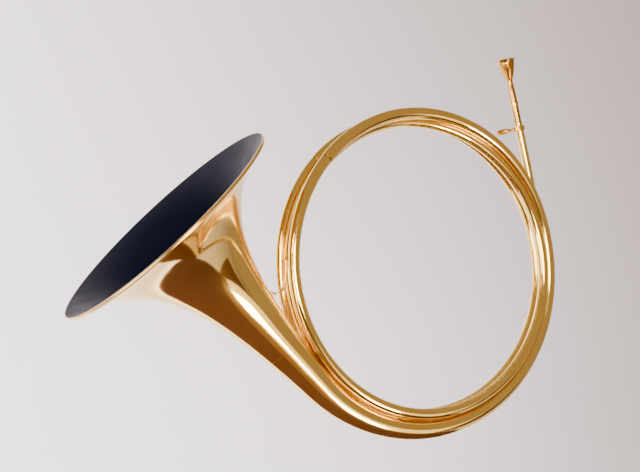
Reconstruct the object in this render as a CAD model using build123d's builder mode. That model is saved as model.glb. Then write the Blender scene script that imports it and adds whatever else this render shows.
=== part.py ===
from build123d import *
import math
import os

# Natural hunting horn in brass: three and a half turns of tube, a straight flared bell,
# a graduated tuning slide with a clamp, and a removable mouthpiece. Millimetres.
# The hoop stands in the XZ plane, +X to the right, +Z up, and the player's side is +Y.
# The origin is where a tied cord carries the hoop: the inside of the hoop, straight above the
# centre of mass, so the horn hangs as it is drawn here.

# Hoop
hoop_inner_radius = 165.5
hang_angle = 118.6          # where the cord is tied, counter-clockwise from +X
wall = 0.5

# Bell
bell_radius = 140.0
bell_angle = 134.0          # direction in which the bell points, in the hoop's plane
tail_length = 257.0         # bell's mouth to the point where the axis touches the coil
flare_tube, flare_body, flare_body_length, flare_body_power = 7.1, 63.3, 140.0, 0.98
flare_lip_length = 32.4
rim_bead_radius = 1.5
rim_wire_radius = 0.9

# Coil: where the tube lies in the bundle, by turn angle from the right-hand side.
# out is the distance of its centre from the hoop's inside, back the depth behind the middle.
route = [
    # turn, out, back
    (-10.0, 24.5, 13.2),
    (0.0, 24.4, 13.5),
    (45.0, 21.3, 15.5),
    (90.0, 17.6, 16.2),
    (136.0, 13.2, 19.7),
    (152.0, 12.3, 19.9),
    (180.0, 12.8, 16.8),
    (225.0, 13.2, 15.9),
    (270.0, 10.8, 16.5),
    (315.0, 8.4, 12.2),
    (360.0, 7.0, 8.4),
    (450.0, 6.8, 8.8),
    (496.0, 6.1, 9.8),
    (540.0, 5.9, 7.2),
    (585.0, 5.9, 5.8),
    (630.0, 6.7, 5.0),
    (675.0, 6.9, -0.9),
    (720.0, 6.8, -4.4),
    (810.0, 6.6, -5.8),
    (856.0, 6.3, -7.4),
    (900.0, 6.9, -6.8),
    (945.0, 10.3, -7.3),
    (990.0, 15.0, -6.7),
    (1035.0, 20.4, -3.6),
    (1080.0, 20.0, 1.0),
    (1170.0, 24.4, 1.6),
    (1216.0, 29.2, 2.4),
]
first_turn = route[0][0]
last_turn = route[-1][0]
seam_turns = [12.5, 224.2, 372.5, 584.2, 732.5, 944.2]
coil_radii = [5.15, 5.5, 5.85, 6.15, 6.4]
sleeve_length = 24.0        # inner sleeve under each seam
sleeve_wall = 0.5
solder_gap = 0.3
fit_gap = 0.05

# Mouthpipe and tuning slide, measured up the mouthpipe from where it meets the coil
mouthpipe_radius = 5.15
sleeve_bottom, sleeve_top = 96.0, 147.0
slide_bottom, slide_top = 104.0, 177.0
slide_radius = 4.5
slide_bore = 3.9
slit_bottom = 129.0
slit_width = 1.0
clamp_height = 142.5
clamp_width = 6.0
clamp_radius = 6.5
clamp_turn = 53.0           # ears and slit, turned from the front towards the hoop's inside
ferrule_length = 5.0
ferrule_radius = 5.0
grade_first, grade_step, grade_count = 151.0, 3.0, 8

# Mouthpiece
mouthpiece_rim_height = 231.5
mouthpiece_rim_radius = 11.8
cup_depth = 26.0
waist_depth = 28.0          # rim to the narrowest place of the outside
throat_radius = 3.7
shank_depth = 20.0

# Thumb screw of the clamp
screw_radius = 1.5
screw_offset = 8.6          # screw's axis in front of the mouthpipe's axis
paddle_length, paddle_width, paddle_thickness = 15.0, 6.5, 2.6
ear_gap = 1.2
ear_thickness = 2.6

os.makedirs("parts", exist_ok=True)

hoop_centre = Vector(
    -hoop_inner_radius * math.cos(math.radians(hang_angle)),
    0,
    -hoop_inner_radius * math.sin(math.radians(hang_angle)),
)


def place_in_bundle(turn):
    """Distance out and back at a turn angle, on a smooth cubic through the route's places."""
    last = len(route) - 1
    i = max(k for k in range(last) if route[k][0] <= turn)
    here, there = route[i], route[i + 1]
    before, after = route[max(i - 1, 0)], route[min(i + 2, last)]
    span = there[0] - here[0]
    t = (turn - here[0]) / span
    place = []
    for axis in (1, 2):
        slope_here = (there[axis] - before[axis]) / (there[0] - before[0]) * span
        slope_there = (after[axis] - here[axis]) / (after[0] - here[0]) * span
        place.append(
            here[axis] * (2 * t**3 - 3 * t**2 + 1)
            + slope_here * (t**3 - 2 * t**2 + t)
            + there[axis] * (3 * t**2 - 2 * t**3)
            + slope_there * (t**3 - t**2)
        )
    return place


def coil_point(turn):
    """Centre of the tube at a turn angle. The tube runs clockwise from the right."""
    out, back = place_in_bundle(turn)
    radius = hoop_inner_radius + out
    angle = math.radians(-turn)
    return hoop_centre + Vector(radius * math.cos(angle), back, radius * math.sin(angle))


def coil_turns(start, end, step=12.0):
    """Turn angles along a stretch of the coil, evenly spaced and close to step degrees apart."""
    count = max(3, round((end - start) / step) + 1)
    return [start + (end - start) * k / (count - 1) for k in range(count)]


def coil_direction(turn):
    """Way the tube runs at a turn angle. At both ends it lies along its straight neighbour."""
    if turn in (first_turn, last_turn):
        tangent = math.radians(-turn)
        return Vector(math.sin(tangent), 0, -math.cos(tangent))
    return (coil_point(turn + 0.5) - coil_point(turn - 0.5)).normalized()


def horn_radius(distance):
    """Outer radius of the bell branch at a distance behind the bell's mouth."""
    lip = bell_radius - flare_tube - flare_body
    body = flare_body * math.exp(-((distance / flare_body_length) ** flare_body_power))
    return flare_tube + body + lip * math.exp(-distance / flare_lip_length)


def finish(piece, name):
    """Label a finished piece and write its STEP file."""
    piece.part.label = name
    export_step(piece.part, f"parts/{name}.step")


# ---- Mouthpipe: straight from the slide, then into the first bow of the coil ----
touch_angle = math.radians(-first_turn)
pipe_foot = coil_point(first_turn)
pipe_axis = Vector(-math.sin(touch_angle), 0, math.cos(touch_angle))


def pipe_plane(height):
    """Plane square to the mouthpipe at a height, its x towards the hoop's inside."""
    inward = Vector(-math.cos(touch_angle), 0, -math.sin(touch_angle))
    return Plane(origin=pipe_foot + pipe_axis * height, x_dir=inward, z_dir=pipe_axis)


def clamp_plane(height):
    """Plane square to the mouthpipe, its y through the sleeve's slit and between the ears."""
    level = pipe_plane(height)
    sideways = level.x_dir.rotate(Axis((0, 0, 0), level.z_dir), -clamp_turn)
    return Plane(origin=level.origin, x_dir=sideways, z_dir=level.z_dir)


def coil_loft(turns, radius, mode=Mode.ADD):
    """Loft a disc of one radius through the tube's places at the given turn angles."""
    sections = []
    for turn in turns:
        with BuildSketch(Plane(coil_point(turn), x_dir=(0, 1, 0), z_dir=coil_direction(turn))) as section:
            Circle(radius)
        sections.append(section.sketch)
    loft(sections, mode=mode)


with BuildPart() as mouthpipe:
    with BuildSketch(pipe_plane(0)):
        Circle(mouthpipe_radius)
    extrude(amount=sleeve_bottom)
    bow_turns = coil_turns(first_turn, seam_turns[0], 7.5)
    coil_loft(bow_turns, mouthpipe_radius)
    with BuildSketch(pipe_plane(0)):
        Circle(mouthpipe_radius - wall)
    extrude(amount=sleeve_bottom, mode=Mode.SUBTRACT)
    coil_loft(bow_turns, mouthpipe_radius - wall, mode=Mode.SUBTRACT)
finish(mouthpipe, "mouthpipe")

# ---- Coil: five drawn tubes of rising bore, butted at the seams ----
for number, radius in enumerate(coil_radii, start=1):
    tube_turns = coil_turns(seam_turns[number - 1], seam_turns[number])
    with BuildPart() as coil_tube:
        coil_loft(tube_turns, radius)
        coil_loft(tube_turns, radius - wall, mode=Mode.SUBTRACT)
    finish(coil_tube, f"coil_tube_{number}")

# ---- Seam sleeves: short tubes soldered inside, one under each seam ----
tube_radii = [mouthpipe_radius] + coil_radii + [flare_tube]
for number, turn in enumerate(seam_turns, start=1):
    outer = min(tube_radii[number - 1], tube_radii[number]) - wall - solder_gap
    half = math.degrees(sleeve_length / 2 / (hoop_inner_radius + place_in_bundle(turn)[0]))
    sleeve_turns = coil_turns(turn - half, turn + half, half / 2)
    with BuildPart() as seam_sleeve:
        coil_loft(sleeve_turns, outer)
        coil_loft(sleeve_turns, outer - sleeve_wall, mode=Mode.SUBTRACT)
    finish(seam_sleeve, f"seam_sleeve_{number}")

# ---- Bell branch: conical tube, over the top, round the hoop and into the tail ----
bell_axis = Vector(math.cos(math.radians(bell_angle)), 0, math.sin(math.radians(bell_angle)))
tail_end = coil_point(last_turn)
bell_centre = tail_end + bell_axis * tail_length
branch_mouth = 190.0        # where the branch ends, behind the bell's mouth


def branch_sections(thickness):
    """Centre, direction and radius of each section of the branch, from its seam to the tail."""
    turns = [seam_turns[-1] + (last_turn - seam_turns[-1]) * k / 20 for k in range(21)]
    places = [coil_point(turn) for turn in turns]
    behind = [tail_length]
    for near, far in zip(reversed(places[:-1]), reversed(places[1:])):
        behind.insert(0, behind[0] + (far - near).length)
    sections = [
        (place, coil_direction(turn), horn_radius(distance) - thickness)
        for place, turn, distance in zip(places, turns, behind)
    ]
    for distance in (235.0, 212.0, branch_mouth):
        place = bell_centre - bell_axis * distance
        sections.append((place, bell_axis, horn_radius(distance) - thickness))
    return sections


def branch_loft(thickness, mode=Mode.ADD):
    """Loft the branch at a depth under its outer surface."""
    sections = []
    for place, direction, radius in branch_sections(thickness):
        with BuildSketch(Plane(place, x_dir=(0, 1, 0), z_dir=direction)) as section:
            Circle(radius)
        sections.append(section.sketch)
    loft(sections, mode=mode)


with BuildPart() as bell_branch:
    branch_loft(0.0)
    branch_loft(wall, mode=Mode.SUBTRACT)
finish(bell_branch, "bell_branch")

# ---- Bell: spun flare on a straight axis, its edge rolled over a wire ----
bell_plane = Plane(origin=bell_centre, x_dir=-bell_axis, z_dir=(0, -1, 0))
bell_line = Axis(bell_centre, bell_axis)
lip_behind = 0.2            # the flare's edge, behind the plane of the rim
flare_stations = [lip_behind, 3.0, 7.0, 12.0, 20.0, 32.0, 50.0, 75.0, 105.0, 145.0, branch_mouth]


def flare_profile(thickness):
    """Points of the flare's outline, from the lip to the branch."""
    return [(station, horn_radius(station) - thickness) for station in flare_stations]


lip_x, lip_y = flare_profile(0.0)[0]
with BuildPart() as bell_flare:
    with BuildSketch(bell_plane):
        with BuildLine():
            outside = Spline(*flare_profile(0.0))
            inside = Spline(*[(x, y - wall * (1.0 + 0.6 * math.exp(-x / 20.0))) for x, y in flare_profile(0.0)])
            Line(outside @ 0, inside @ 0)
            Line(outside @ 1, inside @ 1)
        make_face()
    revolve(axis=bell_line)
finish(bell_flare, "bell_flare")

bead_x, bead_y = lip_x + 2.3, lip_y - 1.45
with BuildPart() as rim_bead:
    with BuildSketch(bell_plane):
        with Locations((bead_x, bead_y)):
            Circle(rim_bead_radius)
            Circle(rim_wire_radius + fit_gap, mode=Mode.SUBTRACT)
    revolve(axis=bell_line)
finish(rim_bead, "rim_bead")

with BuildPart() as rim_wire:
    with BuildSketch(bell_plane):
        with Locations((bead_x, bead_y)):
            Circle(rim_wire_radius)
    revolve(axis=bell_line)
finish(rim_wire, "rim_wire")

# ---- Bell joint: a tapered ring soldered inside, under the seam of branch and flare ----
joint_half_length = 9.0
with BuildPart() as bell_joint_ring:
    with BuildSketch(bell_plane):
        with BuildLine():
            stations = [branch_mouth + joint_half_length * k for k in (-1, 0, 1)]
            skin = wall + solder_gap
            outside = Spline(*[(x, horn_radius(x) - skin) for x in stations])
            inside = Spline(*[(x, horn_radius(x) - skin - wall) for x in stations])
            Line(outside @ 0, inside @ 0)
            Line(outside @ 1, inside @ 1)
        make_face()
    revolve(axis=bell_line)
finish(bell_joint_ring, "bell_joint_ring")

# ---- Slide sleeve: the upper mouthpipe, slit at its top so that the clamp can close it ----
sleeve_bore = slide_radius + fit_gap
with BuildPart() as slide_sleeve:
    with BuildSketch(pipe_plane(sleeve_bottom)):
        Circle(mouthpipe_radius)
        Circle(sleeve_bore, mode=Mode.SUBTRACT)
    extrude(amount=sleeve_top - sleeve_bottom)
    with BuildSketch(Plane(pipe_plane(slit_bottom).origin, x_dir=pipe_axis, z_dir=clamp_plane(0).y_dir)):
        Circle(slit_width)
        with Locations(((sleeve_top - slit_bottom) / 2, 0)):
            Rectangle(sleeve_top - slit_bottom + 2, slit_width)
    extrude(amount=mouthpipe_radius + 1, mode=Mode.SUBTRACT)
finish(slide_sleeve, "slide_sleeve")

# ---- Tuning slide: drawn tube with engraved rings, the mouthpiece's socket in its top ----
with BuildPart() as tuning_slide:
    with BuildSketch(pipe_plane(slide_bottom)):
        Circle(slide_radius)
        Circle(slide_bore, mode=Mode.SUBTRACT)
    extrude(amount=slide_top - slide_bottom)
    for k in range(grade_count):
        with BuildSketch(pipe_plane(grade_first + grade_step * k)):
            Circle(slide_radius + 1)
            Circle(slide_radius - 0.25, mode=Mode.SUBTRACT)
        extrude(amount=0.9, mode=Mode.SUBTRACT)
finish(tuning_slide, "tuning_slide")

with BuildPart() as slide_ferrule:
    with BuildSketch(pipe_plane(slide_top - ferrule_length)):
        Circle(ferrule_radius + 0.1)
        Circle(slide_radius + 0.02, mode=Mode.SUBTRACT)
    extrude(amount=ferrule_length)
    fillet(slide_ferrule.edges().filter_by(GeomType.CIRCLE).sort_by(SortBy.RADIUS)[-2:], radius=0.3)
finish(slide_ferrule, "slide_ferrule")

# ---- Clamp: split collar round the sleeve, two ears drawn together by the thumb screw ----
ear_end = ear_gap / 2 + ear_thickness
ear_reach = screw_offset + 2.6
with BuildPart() as clamp_collar:
    with BuildSketch(clamp_plane(clamp_height - clamp_width / 2)):
        Circle(clamp_radius)
        with Locations((0, ear_reach / 2)):
            Rectangle(2 * ear_end, ear_reach)
        Circle(mouthpipe_radius + 0.02, mode=Mode.SUBTRACT)
        with Locations((0, ear_reach / 2 + 2)):
            Rectangle(ear_gap, ear_reach, mode=Mode.SUBTRACT)
    extrude(amount=clamp_width)
    ear_axis = Axis(pipe_foot, clamp_plane(0).y_dir)
    ear_top = clamp_collar.edges().filter_by(Axis(pipe_foot, clamp_plane(0).x_dir)).sort_by(ear_axis)[-4:]
    fillet(ear_top, radius=1.6)
    screw_plane = Plane(
        clamp_plane(clamp_height).from_local_coords(Vector(0, screw_offset, 0)),
        x_dir=pipe_axis,
        z_dir=clamp_plane(0).x_dir,
    )
    with BuildSketch(screw_plane):
        Circle(screw_radius + fit_gap)
    extrude(amount=ear_end + 1, both=True, mode=Mode.SUBTRACT)
finish(clamp_collar, "clamp_collar")

head_start = ear_end + 0.3
neck_length = 7.5
with BuildPart() as thumb_screw:
    with BuildSketch(screw_plane.offset(-ear_end - 1.2)):
        Circle(screw_radius)
    extrude(amount=ear_end + 1.2 + head_start + 0.5)
    with BuildSketch(screw_plane.offset(head_start)):
        Circle(2.7)
    extrude(amount=1.8)
    with BuildSketch(screw_plane.offset(head_start + 1.8)):
        Circle(1.7)
    extrude(amount=neck_length)
    paddle_plane = Plane(screw_plane.origin, x_dir=screw_plane.z_dir, z_dir=-clamp_plane(0).y_dir)
    with BuildSketch(paddle_plane.offset(-paddle_thickness / 2)):
        with Locations((head_start + 1.8 + neck_length - 1 + paddle_length / 2, 0)):
            SlotOverall(paddle_length, paddle_width)
    extrude(amount=paddle_thickness)
finish(thumb_screw, "thumb_screw")

# ---- Mouthpiece: turned, a deep funnel cup with a thin flat rim, its shank in the slide ----
rim_at = mouthpiece_rim_height
shoulder = slide_top + 0.1
shank_end = slide_top - shank_depth
with BuildPart() as mouthpiece:
    with BuildSketch(Plane(pipe_foot, x_dir=pipe_plane(0).x_dir, z_dir=(0, 1, 0))):
        with BuildLine():
            rim_top = Line((9.6, rim_at), (10.6, rim_at))
            rim_edge = RadiusArc(rim_top @ 1, (10.4, rim_at - 2.6), 1.35)
            outside = Spline(
                rim_edge @ 1,
                (9.8, rim_at - 6.8),
                (8.5, rim_at - 13.0),
                (6.2, rim_at - 20.0),
                (throat_radius, rim_at - waist_depth),
            )
            waist = Spline(outside @ 1, (4.0, rim_at - 38.0), (4.5, shoulder), tangents=[(0, -1), (0.05, -1)])
            Polyline(waist @ 1, (slide_bore - fit_gap, shoulder), (slide_bore - fit_gap, shank_end), (3.2, shank_end))
            Polyline((3.2, shank_end), (1.9, rim_at - cup_depth))
            Spline((1.9, rim_at - cup_depth), (3.6, rim_at - 19.0), (6.2, rim_at - 9.0), rim_top @ 0)
        make_face()
    revolve(axis=Axis(pipe_foot, pipe_axis))
finish(mouthpiece, "mouthpiece")

# ---- Bell stay: a bent wire, its flat foot on the tail and its long end along the coil ----
stay_radius = 1.35
stay_back = 3.5
foot_behind = 135.0         # foot's place behind the bell's mouth
inward = Vector(math.sin(math.radians(bell_angle)), 0, -math.cos(math.radians(bell_angle)))
foot_place = bell_centre - bell_axis * foot_behind + inward * (horn_radius(foot_behind) + 0.15)
foot_lean = math.degrees(math.atan2(horn_radius(foot_behind - 8) - horn_radius(foot_behind + 8), 16))


def beside_coil(angle, out):
    """Point of the stay beside the hoop, at an in-plane angle and a distance out."""
    radius = hoop_inner_radius + out
    turn = math.radians(angle)
    return hoop_centre + Vector(radius * math.cos(turn), stay_back, radius * math.sin(turn))


with BuildPart() as bell_stay:
    with BuildLine() as stay_route:
        stay_start = foot_place + inward * stay_radius - bell_axis * 1.5
        Spline(
            stay_start,
            beside_coil(188.6, 26.0),
            beside_coil(186.3, 17.0),
            beside_coil(181.5, 12.9),
            beside_coil(176.0, 12.5),
            tangents=[(-bell_axis + inward * 0.25).normalized(), (0, 0, 1)],
            tangent_scalars=[0.8, 0.8],
        )
    with BuildSketch(Plane(stay_route.line @ 0, z_dir=stay_route.line % 0)):
        Circle(stay_radius)
    sweep(path=stay_route.line)
    foot_axis = bell_axis.rotate(Axis(foot_place, (0, 1, 0)), foot_lean)
    foot_normal = inward.rotate(Axis(foot_place, (0, 1, 0)), foot_lean)
    with BuildSketch(Plane(foot_place, x_dir=foot_axis, z_dir=foot_normal)):
        SlotOverall(11.0, 3.6)
    extrude(amount=1.0)
finish(bell_stay, "bell_stay")
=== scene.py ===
import bmesh
import bpy
import math
import numpy as np
from mathutils import Matrix


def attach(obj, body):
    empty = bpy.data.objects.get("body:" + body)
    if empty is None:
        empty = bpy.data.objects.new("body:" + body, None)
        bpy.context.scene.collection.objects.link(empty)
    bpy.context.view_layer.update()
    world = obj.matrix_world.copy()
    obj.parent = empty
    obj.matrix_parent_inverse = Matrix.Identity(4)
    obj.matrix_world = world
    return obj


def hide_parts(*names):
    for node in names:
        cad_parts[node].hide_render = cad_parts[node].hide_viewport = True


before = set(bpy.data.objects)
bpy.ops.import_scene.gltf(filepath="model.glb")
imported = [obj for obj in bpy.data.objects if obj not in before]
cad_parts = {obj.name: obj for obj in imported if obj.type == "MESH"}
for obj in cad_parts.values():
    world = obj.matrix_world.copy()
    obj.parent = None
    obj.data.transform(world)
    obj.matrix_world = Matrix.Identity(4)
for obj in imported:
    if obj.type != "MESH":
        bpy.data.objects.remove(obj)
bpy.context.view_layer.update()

# ---- Coil tubes: five drawn brass tubes of rising bore ----
# Each is bent to the hoop and butted to the next with a soldered seam, where its edge is
# slightly rounded. They are polished and lacquered in gold.
hoop_inner_radius = 0.1655
hang_angle = math.radians(118.6)
hoop_centre = -hoop_inner_radius * np.array([math.cos(hang_angle), 0.0, math.sin(hang_angle)])
wall = 0.0005
# turn angle from the right-hand side in degrees; distance out from the hoop's inside and back in mm
route = np.array([
    (-10.0, 24.5, 13.2), (0.0, 24.4, 13.5), (45.0, 21.3, 15.5), (90.0, 17.6, 16.2),
    (136.0, 13.2, 19.7), (152.0, 12.3, 19.9), (180.0, 12.8, 16.8), (225.0, 13.2, 15.9),
    (270.0, 10.8, 16.5), (315.0, 8.4, 12.2), (360.0, 7.0, 8.4), (450.0, 6.8, 8.8),
    (496.0, 6.1, 9.8), (540.0, 5.9, 7.2), (585.0, 5.9, 5.8), (630.0, 6.7, 5.0),
    (675.0, 6.9, -0.9), (720.0, 6.8, -4.4), (810.0, 6.6, -5.8), (856.0, 6.3, -7.4),
    (900.0, 6.9, -6.8), (945.0, 10.3, -7.3), (990.0, 15.0, -6.7), (1035.0, 20.4, -3.6),
    (1080.0, 20.0, 1.0), (1170.0, 24.4, 1.6), (1216.0, 29.2, 2.4),
])
seam_turns = [12.5, 224.2, 372.5, 584.2, 732.5, 944.2]
coil_radii = [0.00515, 0.0055, 0.00585, 0.00615, 0.0064]


def cubic_through(at, places, where):
    """Places along a line that is a cubic from each given place to the next, with the slope at
    a place taken from its two neighbours."""
    after = np.minimum(np.arange(len(at)) + 1, len(at) - 1)
    before = np.maximum(np.arange(len(at)) - 1, 0)
    slopes = (places[after] - places[before]) / (at[after] - at[before])[:, None]
    i = np.clip(np.searchsorted(at, where, side="right") - 1, 0, len(at) - 2)
    span = (at[i + 1] - at[i])[:, None]
    t = (where - at[i])[:, None] / span
    return (
        places[i] * (2 * t**3 - 3 * t**2 + 1)
        + slopes[i] * span * (t**3 - 2 * t**2 + t)
        + places[i + 1] * (3 * t**2 - 2 * t**3)
        + slopes[i + 1] * span * (t**3 - t**2)
    )


def coil_line(turns):
    """Centre line of the coil at turn angles in degrees, from the route's places out and back."""
    turns = np.asarray(turns, float)
    out_back = cubic_through(route[:, 0], route[:, 1:] / 1000, turns)
    radius = hoop_inner_radius + out_back[:, 0]
    angle = np.radians(-turns)
    return hoop_centre + np.stack([radius * np.cos(angle), out_back[:, 1], radius * np.sin(angle)], 1)


def surface(name, points, wrap=(True, True)):
    """Mesh over a grid of points (rows, columns, 3), joined to itself along the wrapped ways.
    Its UV is the distance along the rows in metres and the share of the way round."""
    rows, columns = points.shape[:2]
    r = np.arange(rows if wrap[0] else rows - 1)
    c = np.arange(columns if wrap[1] else columns - 1)
    r0, c0 = np.meshgrid(r, c, indexing="ij")
    r1, c1 = (r0 + 1) % rows, (c0 + 1) % columns
    corners = np.stack([r0 * columns + c0, r1 * columns + c0, r1 * columns + c1, r0 * columns + c1], -1)
    mesh = bpy.data.meshes.new(name)
    mesh.from_pydata(points.reshape(-1, 3).tolist(), [], corners.reshape(-1, 4).tolist())
    middle = points.mean(1)
    along = np.concatenate([[0], np.cumsum(np.linalg.norm(np.diff(middle, axis=0), axis=1))])
    along_next = np.append(along, along[-1])
    u = np.stack([along_next[r0], along_next[r0 + 1], along_next[r0 + 1], along_next[r0]], -1)
    v = np.stack([c0, c0, c0 + 1, c0 + 1], -1) / columns
    layer = mesh.uv_layers.new(name="along")
    layer.data.foreach_set("uv", np.stack([u, v], -1).astype(np.float32).ravel())
    piece = bpy.data.objects.new(name, mesh)
    bpy.context.scene.collection.objects.link(piece)
    return piece


def shape_up(piece, sharp=40.0, merge=1e-6):
    """Merges points that meet, turns every face outward and keeps edges sharper than an angle."""
    work = bmesh.new()
    work.from_mesh(piece.data)
    bmesh.ops.remove_doubles(work, verts=work.verts, dist=merge)
    bmesh.ops.recalc_face_normals(work, faces=work.faces)
    work.to_mesh(piece.data)
    work.free()
    piece.data.shade_smooth()
    piece.data.set_sharp_from_angle(angle=math.radians(sharp))
    return piece


def carried_ring(centres, radii, side=(0.0, 1.0, 0.0), around=72):
    """Rings square to a centre line. A ring's point is centre + radius (cos a side + sin a across),
    with side kept square to the line and across = line x side."""
    way = np.gradient(centres, axis=0)
    way /= np.linalg.norm(way, axis=1)[:, None]
    side = np.asarray(side) - way * (way @ np.asarray(side))[:, None]
    side /= np.linalg.norm(side, axis=1)[:, None]
    across = np.cross(way, side)
    a = np.linspace(0, 2 * math.pi, around, endpoint=False)
    ring = np.cos(a)[None, :, None] * side[:, None] + np.sin(a)[None, :, None] * across[:, None]
    return centres[:, None] + np.asarray(radii)[:, None, None] * ring


def tube(name, centres, radii, around=72, edge=0.00022):
    """Skin of a thin tube: rings of its outer radius forward along its centre line, drawn in at
    both ends for the rounded edge, then rings of its inner radius back to the start."""
    centres, radii = np.asarray(centres), np.broadcast_to(radii, len(centres)).copy()
    start = centres[0] + (centres[1] - centres[0]) / np.linalg.norm(centres[1] - centres[0]) * edge
    end = centres[-1] + (centres[-2] - centres[-1]) / np.linalg.norm(centres[-2] - centres[-1]) * edge
    line = np.vstack([centres[:1], start[None], centres[1:-1], end[None], centres[-1:]])
    size = np.concatenate([[radii[0] - edge], [radii[0]], radii[1:-1], [radii[-1]], [radii[-1] - edge]])
    outer = carried_ring(line, size, around=around)
    back = np.linspace(0, len(centres) - 1, max(len(centres) // 3, 2)).round().astype(int)
    inner = carried_ring(centres[back], radii[back] - wall, around=around)[::-1]
    return shape_up(surface(name, np.vstack([outer, inner])))


def noise(nodes, links, source, scale, detail=3.0, stretch=(1, 1, 1)):
    """A noise texture's value over the given coordinates, stretched by a mapping."""
    mapping = nodes.new("ShaderNodeMapping")
    mapping.inputs["Scale"].default_value = stretch
    links.new(source, mapping.inputs["Vector"])
    grain = nodes.new("ShaderNodeTexNoise")
    grain.inputs["Scale"].default_value = scale
    grain.inputs["Detail"].default_value = detail
    links.new(mapping.outputs["Vector"], grain.inputs["Vector"])
    return grain.outputs["Fac"]


def remap(nodes, links, value, low, high, to_low, to_high):
    """A value's range laid onto another range, and kept inside it."""
    ramp = nodes.new("ShaderNodeMapRange")
    for key, number in (("From Min", low), ("From Max", high), ("To Min", to_low), ("To Max", to_high)):
        ramp.inputs[key].default_value = number
    links.new(value, ramp.inputs["Value"])
    return ramp.outputs["Result"]


def polished_brass(name, pale, deep, rough=0.07, worn=0.16, drawn=(6.0, 90.0, 1.0)):
    """Polished, lacquered brass. Its tone drifts between two golds, its polish has faint drawing
    lines along the tube, hazy handled patches and fine hairlines, and its lacquer a slight ripple."""
    material = bpy.data.materials.new(name)
    material.use_nodes = True
    nodes, links = material.node_tree.nodes, material.node_tree.links
    shader = nodes["Principled BSDF"]
    where = nodes.new("ShaderNodeTexCoord")
    drift = noise(nodes, links, where.outputs["Object"], 14.0, 4.0)
    tone = remap(nodes, links, drift, 0.35, 0.65, 0.0, 1.0)
    blend = nodes.new("ShaderNodeMix")
    blend.data_type = "RGBA"
    blend.inputs["A"].default_value = (*pale, 1)
    blend.inputs["B"].default_value = (*deep, 1)
    links.new(tone, blend.inputs["Factor"])
    links.new(blend.outputs["Result"], shader.inputs["Base Color"])
    patches = noise(nodes, links, where.outputs["Object"], 32.0, 5.0)
    haze = remap(nodes, links, patches, 0.52, 0.72, 0.0, worn - rough)
    lines = noise(nodes, links, where.outputs["UV"], 5.0, 2.0, drawn)
    streak = remap(nodes, links, lines, 0.4, 0.7, rough * 0.8, rough * 1.4)
    total = nodes.new("ShaderNodeMath")
    links.new(haze, total.inputs[0])
    links.new(streak, total.inputs[1])
    links.new(total.outputs[0], shader.inputs["Roughness"])
    ripple = nodes.new("ShaderNodeBump")
    ripple.inputs["Strength"].default_value = 0.05
    ripple.inputs["Distance"].default_value = 0.0002
    links.new(noise(nodes, links, where.outputs["Object"], 260.0, 2.0), ripple.inputs["Height"])
    links.new(ripple.outputs["Normal"], shader.inputs["Normal"])
    shader.inputs["Metallic"].default_value = 1.0
    shader.inputs["Specular Tint"].default_value = (1.0, 0.96, 0.82, 1)
    shader.inputs["Coat Weight"].default_value = 0.25
    shader.inputs["Coat Roughness"].default_value = 0.04
    shader.inputs["Coat Tint"].default_value = (1.0, 0.95, 0.85, 1)
    return material


tube_brass = polished_brass("tube brass", (0.94, 0.69, 0.22), (0.91, 0.64, 0.18))


def place(piece, material, body, slot, *nodes):
    """Gives a piece its material, lets it ride on its body and stand for its solids."""
    piece.data.materials.append(material)
    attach(piece, body)
    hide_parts(*nodes)
    return piece


for number, radius in enumerate(coil_radii, start=1):
    turns = np.arange(seam_turns[number - 1], seam_turns[number] + 0.01, 0.5)
    coil_tube = tube(f"coil_tube_{number}_skin", coil_line(turns), radius)
    place(coil_tube, tube_brass, "horn", "tube_brass", f"coil_tube_{number}")

# ---- Bell branch: the conical tube that grows over the top and round into the tail ----
# Rolled from sheet brass, drawn on a mandrel and bent while filled, then soldered to the coil
# at one end and to the flare at the other.
tail_length, branch_mouth = 0.257, 0.190
bell_angle = math.radians(134.0)
bell_axis = np.array([math.cos(bell_angle), 0.0, math.sin(bell_angle)])
tail_end = coil_line([1216.0])[0]
bell_centre = tail_end + bell_axis * tail_length


def horn_radius(behind):
    """Outer radius behind the bell's mouth: a tube, a long swelling and a short flaring lip."""
    behind = np.asarray(behind, float) * 1000
    body = 63.3 * np.exp(-((behind / 140.0) ** 0.98))
    return (7.1 + body + 69.6 * np.exp(-behind / 32.4)) / 1000


branch_bow = coil_line(np.arange(seam_turns[-1], 1216.001, 0.5))
straight = np.arange(tail_length - 0.0015, branch_mouth - 0.0001, -0.0015)
branch_line = np.vstack([branch_bow, bell_centre - bell_axis * np.append(straight, branch_mouth)[:, None]])
steps = np.linalg.norm(np.diff(branch_line, axis=0), axis=1)
branch_behind = branch_mouth + np.append(np.cumsum(steps[::-1])[::-1], 0.0)
bell_branch = tube("bell_branch_skin", branch_line, horn_radius(branch_behind), around=96)
bell_brass = polished_brass("bell brass", (0.94, 0.68, 0.22), (0.91, 0.63, 0.18), rough=0.09)
place(bell_branch, bell_brass, "horn", "tube_brass", "bell_branch")

# ---- Bell flare: spun brass, gold outside and lacquered black inside ----
# Spun on a form from a soldered cone. Its edge is turned back over a wire, and the inside is
# sprayed with black lacquer that stops short of the bright edge.
across_bell = np.cross(bell_axis, (0.0, 1.0, 0.0))


def lathe(points, centre, axis, side, around):
    """Turns an outline of (distance along the axis, radius) about the axis."""
    side = np.asarray(side, float)
    across = np.cross(axis, side)
    a = np.linspace(0, 2 * math.pi, around, endpoint=False)
    ring = np.cos(a)[:, None] * side + np.sin(a)[:, None] * across
    return centre + points[:, None, :1] * np.asarray(axis) + points[:, None, 1:] * ring


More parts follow.
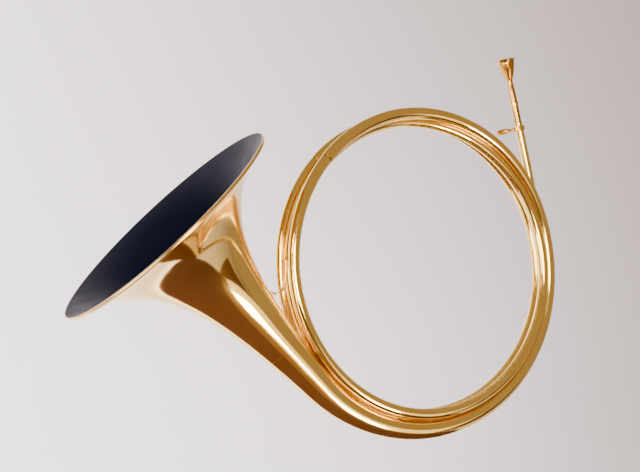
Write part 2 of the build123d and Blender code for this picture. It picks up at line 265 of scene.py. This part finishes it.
lip_behind = 0.0002
fine = np.linspace(0, 1, 130) ** 1.7
stations = lip_behind + (branch_mouth - 0.0001 - lip_behind) * fine
thickness = wall * (1.0 + 0.6 * np.exp(-stations / 0.02))
outside = np.stack([-stations, horn_radius(stations)], 1)
inside = np.stack([-stations, horn_radius(stations) - thickness], 1)
flare_outline = np.vstack([outside[::-1], inside])
bell_flare = surface("bell_flare_skin", lathe(flare_outline, bell_centre, bell_axis, (0.0, 1.0, 0.0), 288))
bell_brass_index, black_index = 0, 1
row_of_face = np.repeat(np.arange(len(flare_outline)), 288)
painted = (row_of_face >= len(outside) + 1) & (row_of_face < len(flare_outline) - 2)
bell_flare.data.polygons.foreach_set("material_index", np.where(painted, black_index, bell_brass_index))
shape_up(bell_flare)


def black_lacquer(name):
    """Sprayed black lacquer: blue-black, a little uneven in tone and sheen, with dust nibs."""
    material = bpy.data.materials.new(name)
    material.use_nodes = True
    nodes, links = material.node_tree.nodes, material.node_tree.links
    shader = nodes["Principled BSDF"]
    where = nodes.new("ShaderNodeTexCoord")
    drift = noise(nodes, links, where.outputs["Object"], 9.0, 4.0)
    tone = remap(nodes, links, drift, 0.3, 0.7, 0.0, 1.0)
    blend = nodes.new("ShaderNodeMix")
    blend.data_type = "RGBA"
    blend.inputs["A"].default_value = (0.0009, 0.0014, 0.0040, 1)
    blend.inputs["B"].default_value = (0.0014, 0.0020, 0.0055, 1)
    links.new(tone, blend.inputs["Factor"])
    links.new(blend.outputs["Result"], shader.inputs["Base Color"])
    uneven = noise(nodes, links, where.outputs["Object"], 40.0, 5.0)
    links.new(remap(nodes, links, uneven, 0.3, 0.7, 0.30, 0.42), shader.inputs["Roughness"])
    nibs = nodes.new("ShaderNodeBump")
    nibs.inputs["Strength"].default_value = 0.12
    nibs.inputs["Distance"].default_value = 0.0003
    links.new(noise(nodes, links, where.outputs["Object"], 420.0, 3.0), nibs.inputs["Height"])
    links.new(nibs.outputs["Normal"], shader.inputs["Normal"])
    shader.inputs["Specular IOR Level"].default_value = 0.02
    return material


place(bell_flare, bell_brass, "horn", "bell_brass", "bell_flare")
bell_flare.data.materials.append(black_lacquer("bell lacquer"))

# ---- Rim bead: the flare's edge rolled back over a wire ----
# A round bead of sheet brass behind the lip, burnished bright, with the wire sealed inside it.
bead_radius = 0.0015
bead_place = np.array([-lip_behind - 0.0023, float(horn_radius(lip_behind)) - 0.00145])
roll = np.linspace(0, 2 * math.pi, 28, endpoint=False)
bead_outline = bead_place + bead_radius * np.stack([np.cos(roll), np.sin(roll)], 1)
bead_rings = lathe(bead_outline, bell_centre, bell_axis, (0.0, 1.0, 0.0), 320)
rim_bead = shape_up(surface("rim_bead_skin", bead_rings))
place(rim_bead, bell_brass, "horn", "bell_brass", "rim_bead", "rim_wire")

# ---- Mouthpipe: the straight pipe that runs down into the first bow ----
# Drawn brass tube of the same polish as the coil, soldered to it at the seam on the right.
touch_turn = -10.0
touch = math.radians(-touch_turn)
pipe_foot = coil_line([touch_turn])[0]
pipe_axis = np.array([-math.sin(touch), 0.0, math.cos(touch)])
pipe_radius, sleeve_bottom = 0.00515, 0.096
pipe_inward = np.array([-math.cos(touch), 0.0, -math.sin(touch)])
pipe_front = np.array([0.0, -1.0, 0.0])
straight = pipe_foot + pipe_axis * np.arange(sleeve_bottom, 0.0004, -0.0015)[:, None]
pipe_line = np.vstack([straight, coil_line(np.arange(touch_turn, seam_turns[0] + 0.01, 0.5))])
mouthpipe = tube("mouthpipe_skin", pipe_line, pipe_radius)
place(mouthpipe, tube_brass, "horn", "tube_brass", "mouthpipe")

# ---- Slide sleeve: the upper mouthpipe, slit at its top ----
# A drawn tube with a saw cut from the top edge down to a small round hole, so that the clamp
# can close it on the slide. The cut faces left of the front, between the clamp's ears.
clamp_turn = math.radians(53.0)
slit_way = pipe_front * math.cos(clamp_turn) + pipe_inward * math.sin(clamp_turn)
screw_way = pipe_inward * math.cos(clamp_turn) - pipe_front * math.sin(clamp_turn)
sleeve_top, slide_radius, fit_gap = 0.147, 0.0045, 0.00005
slit_bottom, slit_half = 0.129, 0.0005
heights = np.concatenate([
    np.linspace(sleeve_bottom, slit_bottom - 0.0012, 30),
    np.linspace(slit_bottom - 0.001, slit_bottom + 0.001, 21)[:-1],
    np.linspace(slit_bottom + 0.001, sleeve_top - 0.0002, 24),
    [sleeve_top],
])
hole = np.sqrt(np.clip(0.001**2 - (heights - slit_bottom) ** 2, 0, None))
half_gap = np.maximum(hole, np.where(heights > slit_bottom, slit_half, 0.0))
share = np.linspace(0, 1, 73)
open_angle = (half_gap / pipe_radius)[:, None]
angle = open_angle + share * (2 * math.pi - 2 * open_angle)


def round_pipe(radius, angle, height):
    """Points about the mouthpipe's axis, the angle counted from the slit."""
    return (
        pipe_foot
        + np.asarray(height)[..., None] * pipe_axis
        + (radius * np.cos(angle))[..., None] * slit_way
        + (radius * np.sin(angle))[..., None] * screw_way
    )


broken_top = 0.00015
edge_in = np.where(np.arange(len(heights)) == len(heights) - 1, broken_top, 0.0)[:, None]
height_of = heights[:, None] + 0 * angle
sleeve_out = round_pipe(pipe_radius - edge_in, angle, height_of)
sleeve_in = round_pipe(np.full((1, 1), slide_radius + fit_gap), angle, height_of)
sleeve_skin = np.concatenate([sleeve_out, sleeve_in[:, ::-1]], 1)
slide_sleeve = surface("slide_sleeve_skin", sleeve_skin, wrap=(False, True))
sleeve_ends = surface("sleeve_ends", np.stack([sleeve_out[0], sleeve_in[0]]), wrap=(False, False))
sleeve_brim = surface("sleeve_brim", np.stack([sleeve_out[-1], sleeve_in[-1]]), wrap=(False, False))


def join(piece, *others):
    """Joins loose parts of one piece into its mesh."""
    work = bmesh.new()
    work.from_mesh(piece.data)
    for other in others:
        work.from_mesh(other.data)
        bpy.data.objects.remove(other)
    work.to_mesh(piece.data)
    work.free()
    return piece


shape_up(join(slide_sleeve, sleeve_ends, sleeve_brim), sharp=30)
place(slide_sleeve, tube_brass, "horn", "tube_brass", "slide_sleeve")

# ---- Tuning slide: a drawn tube with engraved rings ----
# Eight ring grooves are cut on the lathe as marks for how far the slide is drawn. The ferrule
# at its top is a short soldered collar that stiffens the mouthpiece's socket.
slide_bottom, slide_top, slide_bore = 0.104, 0.177, 0.0039
groove_starts = 0.151 + 0.003 * np.arange(8)
groove_depth, groove_width = 0.00025, 0.0009
groove_slant = 0.00008
groove = np.array([
    (-groove_slant, 0.0), (0.0, -groove_depth),
    (groove_width, -groove_depth), (groove_width + groove_slant, 0.0),
])
groove_points = (groove_starts[:, None, None] * np.array([1.0, 0.0]) + groove).reshape(-1, 2)
slide_outline = np.vstack([
    [(slide_bottom, slide_radius - 0.00015), (slide_bottom + 0.0002, slide_radius)],
    np.stack([np.linspace(0.106, 0.149, 20), np.full(20, slide_radius)], 1),
    groove_points + np.array([0.0, slide_radius]),
    [(slide_top - 0.0002, slide_radius), (slide_top, slide_radius - 0.00015)],
    np.stack([np.linspace(slide_top, slide_bottom, 20), np.full(20, slide_bore)], 1),
])
slide_rings = lathe(slide_outline, pipe_foot, pipe_axis, pipe_front, 80)
tuning_slide = shape_up(surface("tuning_slide_skin", slide_rings), sharp=25)
fitting_brass = polished_brass(
    "fitting brass", (0.86, 0.56, 0.13), (0.76, 0.45, 0.09), rough=0.15, worn=0.22
)
place(tuning_slide, fitting_brass, "tuning_slide", "tube_brass", "tuning_slide")
# the grooves' floors are painted dark as shade in the recesses, so the rings read as dark lines
groove_painted_shade = polished_brass("groove painted shade", (0.16, 0.09, 0.03), (0.10, 0.05, 0.02), rough=0.45, worn=0.6)
tuning_slide.data.materials.append(groove_painted_shade)
# faces on the groove floors get the second slot, the dark painted shade
face_centres = np.zeros(len(tuning_slide.data.polygons) * 3)
tuning_slide.data.polygons.foreach_get("center", face_centres)
from_foot = face_centres.reshape(-1, 3) - pipe_foot
face_height = from_foot @ pipe_axis
face_radius = np.linalg.norm(from_foot - face_height[:, None] * pipe_axis, axis=1)
in_groove = np.abs(face_radius - (slide_radius - groove_depth)) < groove_depth * 0.8
tuning_slide.data.polygons.foreach_set("material_index", in_groove.astype(int))

ferrule_radius, ferrule_length, ferrule_round = 0.0051, 0.005, 0.0003
turned = np.linspace(0, math.pi / 2, 6)
ferrule_outline = np.vstack([
    [(slide_top - ferrule_length, slide_radius + 0.00002)],
    np.stack([slide_top - ferrule_length + ferrule_round * (1 - np.cos(turned)),
              ferrule_radius - ferrule_round + ferrule_round * np.sin(turned)], 1),
    np.stack([slide_top - ferrule_round + ferrule_round * np.sin(turned),
              ferrule_radius - ferrule_round + ferrule_round * np.cos(turned)], 1),
    [(slide_top, slide_radius + 0.00002)],
])
ferrule_rings = lathe(ferrule_outline, pipe_foot, pipe_axis, pipe_front, 80)
slide_ferrule = surface("slide_ferrule_skin", ferrule_rings)
place(shape_up(slide_ferrule), fitting_brass, "tuning_slide", "fitting_brass", "slide_ferrule")

# ---- Clamp collar: a split ring round the sleeve with two ears ----
# Cast brass, filed and drilled for the thumb screw, sprung over the sleeve and soldered at its
# back. Its outline is carried up the pipe and drawn in at both faces for the broken edges.
clamp_height, clamp_width, clamp_radius = 0.1425, 0.006, 0.0065
screw_offset, ear_gap, ear_thickness = 0.0086, 0.0012, 0.0026
ear_end, ear_reach = ear_gap / 2 + ear_thickness, screw_offset + 0.0026
ear_root = math.asin(ear_end / clamp_radius)
bend = np.linspace(0, math.pi / 2, 7)
ear_round = 0.0016
right_ear = np.vstack([
    [(ear_gap / 2, ear_reach)],
    np.stack([ear_end - ear_round + ear_round * np.sin(bend),
              ear_reach - ear_round + ear_round * np.cos(bend)], 1),
])
round_back = np.linspace(ear_root, 2 * math.pi - ear_root, 61)
outer_arc = clamp_radius * np.stack([np.sin(round_back), np.cos(round_back)], 1)
left_ear = right_ear[::-1] * np.array([-1.0, 1.0])
collar_bore = pipe_radius + 0.00002
bore_root = math.asin(ear_gap / 2 / collar_bore)
round_bore = np.linspace(2 * math.pi - bore_root, bore_root, 61)
bore_arc = collar_bore * np.stack([np.sin(round_bore), np.cos(round_bore)], 1)
collar_outline = np.vstack([right_ear, outer_arc, left_ear, bore_arc])
near = np.roll(collar_outline, 1, 0) - np.roll(collar_outline, -1, 0)
outward = np.stack([-near[:, 1], near[:, 0]], 1) / np.linalg.norm(near, axis=1)[:, None]
broken = 0.00025
layers = [
    (-clamp_width / 2, broken), (-clamp_width / 2 + broken, 0.0),
    (clamp_width / 2 - broken, 0.0), (clamp_width / 2, broken),
]
collar_rows = []
for rise, inset in layers:
    flat = collar_outline - outward * inset
    collar_rows.append(
        pipe_foot + pipe_axis * (clamp_height + rise)
        + flat[:, :1] * screw_way + flat[:, 1:] * slit_way
    )
clamp_collar = surface("clamp_collar_skin", np.array(collar_rows), wrap=(False, True))
count = len(collar_outline)
faces_mesh = bpy.data.meshes.new("collar_faces")
faces_points = np.vstack([collar_rows[0], collar_rows[-1]])
faces_mesh.from_pydata(faces_points.tolist(), [], [tuple(range(count)), tuple(range(count, 2 * count))])
collar_faces = bpy.data.objects.new("collar_faces", faces_mesh)
shape_up(join(clamp_collar, collar_faces), sharp=30)
place(clamp_collar, fitting_brass, "horn", "fitting_brass", "clamp_collar")

# ---- Thumb screw: shank, knurled shoulder and flat paddle ----
# Turned from brass bar, its outer end forged flat into a paddle for the thumb. The shank's
# round section is carried along and turns into the paddle's flat oval.
screw_centre = pipe_foot + pipe_axis * clamp_height + slit_way * screw_offset
paddle_length, paddle_width, paddle_thickness = 0.015, 0.0065, 0.0026
head_start = ear_end + 0.0003
head_width, neck_length = 0.0018, 0.0065
neck_end = head_start + head_width + neck_length
along_shank = np.array([
    (-ear_end - 0.0012, 0.0), (-ear_end - 0.0012, 0.0012), (-ear_end - 0.0009, 0.0015),
    (head_start, 0.0015), (head_start, 0.0025), (head_start + 0.0002, 0.0027),
    (head_start + 0.0016, 0.0027), (head_start + head_width, 0.0025), (head_start + head_width, 0.0017),
    (head_start + 0.004, 0.0016), (neck_end - 0.0012, 0.0017),
])
reach = np.linspace(0, math.pi, 40)
blade_at = neck_end + paddle_length / 2 * (1 - np.cos(reach))
blade_wide = np.maximum(paddle_width / 2 * np.sin(reach) ** 0.45, np.where(reach < 0.6, 0.0017, 0.0))
blade_thick = np.maximum(paddle_thickness / 2 * np.sin(reach) ** 0.35, np.where(reach < 0.6, 0.0013, 0.0))
at = np.concatenate([along_shank[:, 0], blade_at])
wide = np.concatenate([along_shank[:, 1], blade_wide])
thick = np.concatenate([along_shank[:, 1], blade_thick])
a = np.linspace(0, 2 * math.pi, 48, endpoint=False)
screw_points = (
    screw_centre
    + at[:, None, None] * screw_way
    + (wide[:, None] * np.cos(a))[..., None] * pipe_axis
    + (thick[:, None] * np.sin(a))[..., None] * slit_way
)
thumb_screw = shape_up(surface("thumb_screw_skin", screw_points, wrap=(False, True)), sharp=35)
place(thumb_screw, fitting_brass, "thumb_screw", "fitting_brass", "thumb_screw")

# ---- Mouthpiece: a deep funnel cup with a thin rim ----
# Turned from brass bar in one piece with its shank, then polished. The outline runs from the
# rim down the outside to the shank's end and back up the throat and the cup.
rim_height, cup_depth, shank_depth = 0.2315, 0.026, 0.020
shoulder, shank_end = slide_top + 0.0001, slide_top - shank_depth


def smooth_line(points, count):
    """Evenly spaced places on a smooth curve through points."""
    points = np.asarray(points, float)
    at = np.concatenate([[0], np.cumsum(np.linalg.norm(np.diff(points, axis=0), axis=1))])
    return cubic_through(at, points, np.linspace(0, at[-1], count))


shank_radius, shank_mouth, throat = slide_bore - fit_gap, 0.0032, 0.0019
outer_side = smooth_line([
    (rim_height, 0.0106), (rim_height - 0.0004, 0.0113),
    (rim_height - 0.0013, 0.0117), (rim_height - 0.0022, 0.0112),
    (rim_height - 0.0032, 0.0104), (rim_height - 0.0068, 0.0098), (rim_height - 0.013, 0.0085),
    (rim_height - 0.020, 0.0062), (rim_height - 0.025, 0.0044), (rim_height - 0.028, 0.0037),
    (rim_height - 0.033, 0.0037), (rim_height - 0.038, 0.0040),
    (rim_height - 0.047, 0.0043), (shoulder, 0.0045),
], 90)
cup_side = smooth_line([
    (rim_height - cup_depth, throat), (rim_height - 0.019, 0.0036), (rim_height - 0.009, 0.0062),
    (rim_height - 0.003, 0.0083), (rim_height - 0.0006, 0.0093), (rim_height, 0.0097), (rim_height, 0.0103),
], 50)
mouthpiece_outline = np.vstack([
    outer_side, [(shoulder, shank_radius)],
    np.stack([np.linspace(shoulder, shank_end + 0.0002, 8)[1:], np.full(7, shank_radius)], 1),
    [(shank_end, shank_radius - 0.0002), (shank_end, shank_mouth)],
    np.linspace((shank_end, shank_mouth), (rim_height - cup_depth, throat), 12)[1:-1],
    cup_side,
])
mouthpiece_rings = lathe(mouthpiece_outline, pipe_foot, pipe_axis, pipe_front, 96)
mouthpiece = shape_up(surface("mouthpiece_skin", mouthpiece_rings), sharp=35)
mouthpiece_brass = polished_brass(
    "mouthpiece brass", (0.64, 0.34, 0.07), (0.54, 0.26, 0.045), rough=0.18, worn=0.2
)
place(mouthpiece, mouthpiece_brass, "mouthpiece", "mouthpiece_brass", "mouthpiece")

# ---- Bell stay: a bent wire between the flare and the coil ----
# Drawn brass wire, its foot hammered flat and soldered to the flare, its long end laid along
# the outermost tube and soldered there.
stay_radius, stay_back, foot_behind = 0.00135, 0.0035, 0.135
inward = np.array([math.sin(bell_angle), 0.0, -math.cos(bell_angle)])
foot_place = bell_centre - bell_axis * foot_behind + inward * (float(horn_radius(foot_behind)) + 0.00015)


def beside_coil(angle, out):
    """A place beside the hoop, at an angle in its plane and a distance out."""
    radius = hoop_inner_radius + out
    return hoop_centre + np.array([
        radius * math.cos(math.radians(angle)), stay_back, radius * math.sin(math.radians(angle))
    ])


stay_start = foot_place + inward * stay_radius - bell_axis * 0.0015
stay_line = smooth_line([
    stay_start, stay_start - bell_axis * 0.004 + inward * 0.0012,
    beside_coil(188.3, 0.0274), beside_coil(188.4, 0.0226), beside_coil(186.3, 0.0168),
    beside_coil(181.5, 0.0129), beside_coil(176.0, 0.0125),
], 90)
round_end = np.sin(np.linspace(0, math.pi / 2, 6))
taper = np.concatenate([round_end, np.ones(78), np.cos(np.linspace(0, math.pi / 2, 6))])
stay_rings = carried_ring(stay_line, stay_radius * taper, around=32)
bell_stay = surface("bell_stay_skin", stay_rings, wrap=(False, True))
foot_lean = math.atan2(float(horn_radius(foot_behind - 0.008) - horn_radius(foot_behind + 0.008)), 0.016)
foot_axis = bell_axis * math.cos(foot_lean) + inward * math.sin(foot_lean)
foot_normal = inward * math.cos(foot_lean) - bell_axis * math.sin(foot_lean)
rise = np.linspace(0, math.pi / 2, 8)
oval = np.linspace(0, 2 * math.pi, 48, endpoint=False)
foot_long = np.sign(np.cos(oval)) * np.abs(np.cos(oval)) ** 0.8 * 0.0055
foot_wide = np.sign(np.sin(oval)) * np.abs(np.sin(oval)) ** 0.8 * 0.0018
dome = np.stack([np.append(1.0, np.cos(rise) ** 0.6), np.append(0.0, 0.0002 + 0.0008 * np.sin(rise))], 1)
foot_points = (
    foot_place
    + (dome[:, :1] * foot_long)[..., None] * foot_axis
    + (dome[:, :1] * foot_wide)[..., None] * np.array([0.0, 1.0, 0.0])
    + dome[:, 1][:, None, None] * foot_normal
)
stay_foot = surface("stay_foot", foot_points, wrap=(False, True))
shape_up(join(bell_stay, stay_foot))
wire_brass = polished_brass("wire brass", (0.92, 0.62, 0.16), (0.86, 0.54, 0.12), rough=0.12, worn=0.25)
place(bell_stay, wire_brass, "horn", "wire_brass", "bell_stay")

# ---- Inner pieces: seam sleeves and the bell's joint ring ----
# Sealed inside the tubes, where nothing shows. They keep their solids and take the tube's brass.
for hidden in [f"seam_sleeve_{n}" for n in range(1, 7)] + ["bell_joint_ring"]:
    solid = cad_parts[hidden]
    for seat in solid.material_slots:
        seat.material = tube_brass

# ---- Backdrop and floor: a pale sweep of painted board ----
# The board stands behind the horn and curves down to a floor well below it.
sweep_radius, wall_y, floor_z = 0.9, 2.6, -1.25
corner = np.linspace(0, math.pi / 2, 40)
sweep_profile = np.vstack([
    [(-4.5, floor_z)],
    np.stack([wall_y - sweep_radius + sweep_radius * np.sin(corner),
              floor_z + sweep_radius * (1 - np.cos(corner))], 1),
    [(wall_y, 4.0)],
])
sweep_across = np.linspace(-5.0, 6.5, 60)
sweep_points = np.stack(np.broadcast_arrays(
    sweep_across[None, :], sweep_profile[:, :1], sweep_profile[:, 1:]
), -1)
backdrop = surface("backdrop", sweep_points, wrap=(False, False))
backdrop.data.shade_smooth()
board = bpy.data.materials.new("backdrop board")
board.use_nodes = True
board_nodes, board_links = board.node_tree.nodes, board.node_tree.links
board_where = board_nodes.new("ShaderNodeTexCoord")
board_tone = board_nodes.new("ShaderNodeMix")
board_tone.data_type = "RGBA"
board_tone.inputs["A"].default_value = (0.67, 0.625, 0.66, 1)
board_tone.inputs["B"].default_value = (0.64, 0.60, 0.63, 1)
board_cloud = noise(board_nodes, board_links, board_where.outputs["Object"], 1.6, 4.0)
board_links.new(board_cloud, board_tone.inputs["Factor"])
board_links.new(board_tone.outputs["Result"], board_nodes["Principled BSDF"].inputs["Base Color"])
board_nodes["Principled BSDF"].inputs["Roughness"].default_value = 0.9
backdrop.data.materials.append(board)

# ---- Lights and camera ----
# Soft boxes on the left, beside the lens and low on the right, two more for the backdrop, two
# painted cards below that only the brass sees, and a view from the front left.


def axes_towards(centre, towards):
    """Level, upward and backward axes of something at a centre that faces a point."""
    backward = np.asarray(centre, float) - np.asarray(towards, float)
    backward /= np.linalg.norm(backward)
    level = np.cross((0.0, 0.0, 1.0), backward)
    level /= np.linalg.norm(level)
    return level, np.cross(backward, level), backward


def soft_box(name, centre, towards, width, height, power, colour):
    """A rectangular soft box that faces a point."""
    light = bpy.data.lights.new(name, "AREA")
    light.shape, light.size, light.size_y = "RECTANGLE", width, height
    light.energy, light.color = power, colour
    lamp = bpy.data.objects.new(name, light)
    columns = np.stack([*axes_towards(centre, towards), np.asarray(centre, float)], 1)
    lamp.matrix_world = Matrix([*columns.tolist(), (0.0, 0.0, 0.0, 1.0)])
    bpy.context.scene.collection.objects.link(lamp)
    return lamp


def card(name, centre, towards, width, height, colour):
    """A flat painted card that faces a point, seen only in the brass."""
    level, upward, _ = axes_towards(centre, towards)
    across_card, up_card = np.meshgrid(np.linspace(-0.5, 0.5, 9), np.linspace(-0.5, 0.5, 9))
    from_centre = (across_card * width)[..., None] * level + (up_card * height)[..., None] * upward
    piece = surface(name, np.asarray(centre) + from_centre, wrap=(False, False))
    paint = bpy.data.materials.new(name)
    paint.use_nodes = True
    nodes, links = paint.node_tree.nodes, paint.node_tree.links
    where = nodes.new("ShaderNodeTexCoord")
    blend = nodes.new("ShaderNodeMix")
    blend.data_type = "RGBA"
    blend.inputs["A"].default_value = (*colour, 1)
    blend.inputs["B"].default_value = (*[c * 0.8 for c in colour], 1)
    links.new(noise(nodes, links, where.outputs["Object"], 3.0), blend.inputs["Factor"])
    links.new(blend.outputs["Result"], nodes["Principled BSDF"].inputs["Base Color"])
    nodes["Principled BSDF"].inputs["Roughness"].default_value = 0.95
    piece.data.materials.append(paint)
    return piece


middle = np.array([-0.05, 0.0, -0.13])
soft_box("key_box", (0.50, -1.25, -1.0), (-0.17, 0.0, -0.15), 0.36, 0.5, 16, (1.0, 0.96, 0.82))
soft_box("key_halo", (0.55, -1.32, -1.1), (-0.17, 0.0, -0.15), 1.1, 1.5, 11, (1.0, 0.80, 0.48))
soft_box("lens_box", (-0.75, -2.1, -0.15), middle, 1.0, 0.8, 50, (1.0, 0.93, 0.76))
soft_box("left_box", (-2.4, -0.7, -0.25), middle, 2.2, 1.1, 70, (1.0, 0.94, 0.80))
wall_box = soft_box("wall_box", (-1.7, 0.5, 1.7), (-0.8, 2.6, -0.9), 2.0, 1.2, 320, (1.0, 0.97, 1.0))
wall_box.visible_glossy = False
floor_box = soft_box("floor_box", (0.4, 0.9, -1.1), (0.3, 2.6, -0.6), 3.0, 0.3, 75, (1.0, 0.97, 0.99))
floor_box.visible_glossy = False
dark_card = card("dark_card", (0.0, 0.10, -1.20), (0.0, 0.08, 0.0), 1.9, 1.75, (0.06, 0.024, 0.017))
room_card = card("room_card", (0.0, -1.45, -1.22), (0.0, -1.40, 0.0), 6.0, 4.2, (0.14, 0.07, 0.03))
for painted in (dark_card, room_card):
    painted.visible_camera = False
    painted.visible_shadow = False
    painted.visible_diffuse = False

world = bpy.data.worlds.new("studio")
bpy.context.scene.world = world
world.use_nodes = True
world.node_tree.nodes["Background"].inputs["Color"].default_value = (1.0, 0.72, 0.42, 1)
world.node_tree.nodes["Background"].inputs["Strength"].default_value = 0.48

camera_data = bpy.data.cameras.new("camera")
camera_data.sensor_width, camera_data.lens = 36.0, 61.3
camera_data.clip_end = 50.0
camera = bpy.data.objects.new("camera", camera_data)
lens_right = np.array([0.88944, -0.45495, -0.04377])
lens_up = np.array([0.0, -0.09576, 0.99540])
lens_back = -np.array([0.45705, 0.88536, 0.08517])
lens_place = hoop_centre + np.array([-0.69421, -1.08255, -0.06883])
lens_columns = np.stack([lens_right, lens_up, lens_back, lens_place], 1)
camera.matrix_world = Matrix([*lens_columns.tolist(), (0.0, 0.0, 0.0, 1.0)])
bpy.context.scene.collection.objects.link(camera)
bpy.context.scene.camera = camera
